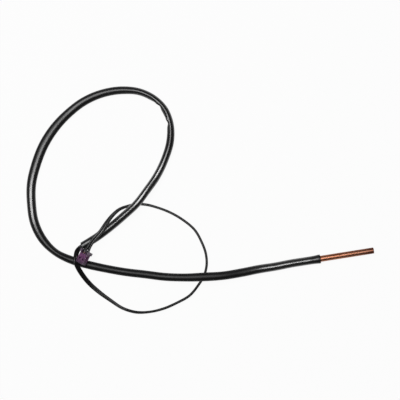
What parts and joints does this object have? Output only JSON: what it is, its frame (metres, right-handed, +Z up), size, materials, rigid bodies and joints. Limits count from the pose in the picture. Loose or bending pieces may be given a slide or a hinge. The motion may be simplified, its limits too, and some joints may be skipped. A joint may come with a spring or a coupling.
{
  "type": "temperature sensor",
  "caption": "Pipe temperature sensor: copper capsule with a potted thermistor bead, a flat twin lead in a loose looped hose, and a small plug with crimped terminals.",
  "frame": {"origin": "on the capsule's axis, at the mouth of the hose", "axes": "+X along the capsule towards its closed end, +Z up from the surface that the sensor lies on, +Y completes a right-handed frame"},
  "size_m": [0.279, 0.1906, 0.0156],
  "materials": {
    "copper": "drawn copper, dulled by handling",
    "epoxy": "cast epoxy",
    "bead_coating": "dipped, gloss",
    "chip_ceramic": "matte",
    "tinned_wire": "satin",
    "leg_tubing": "satin",
    "tinned_brass": "tin plated, satin",
    "bare_strands": "bunched bright copper",
    "hose_pvc": "soft, gloss",
    "lead_pvc": "soft, satin",
    "violet_plastic": "moulded, gloss"
  },
  "bodies": {
    "root": {"probe_sheath": "copper", "potting": "epoxy", "thermistor_coating": "bead_coating", "thermistor_chip": "chip_ceramic", "thermistor_leg_a": "tinned_wire", "thermistor_leg_b": "tinned_wire", "leg_tube_a": "leg_tubing", "leg_tube_b": "leg_tubing", "splice_a": "tinned_brass", "splice_b": "tinned_brass", "probe_strands_a": "bare_strands", "probe_strands_b": "bare_strands", "hose": "hose_pvc", "twin_lead": "lead_pvc", "split_core_a": "lead_pvc", "split_core_b": "lead_pvc", "plug_strands_a": "bare_strands", "plug_strands_b": "bare_strands", "terminal_a": "tinned_brass", "terminal_b": "tinned_brass", "connector_housing": "violet_plastic"}
  },
  "joints": []
}
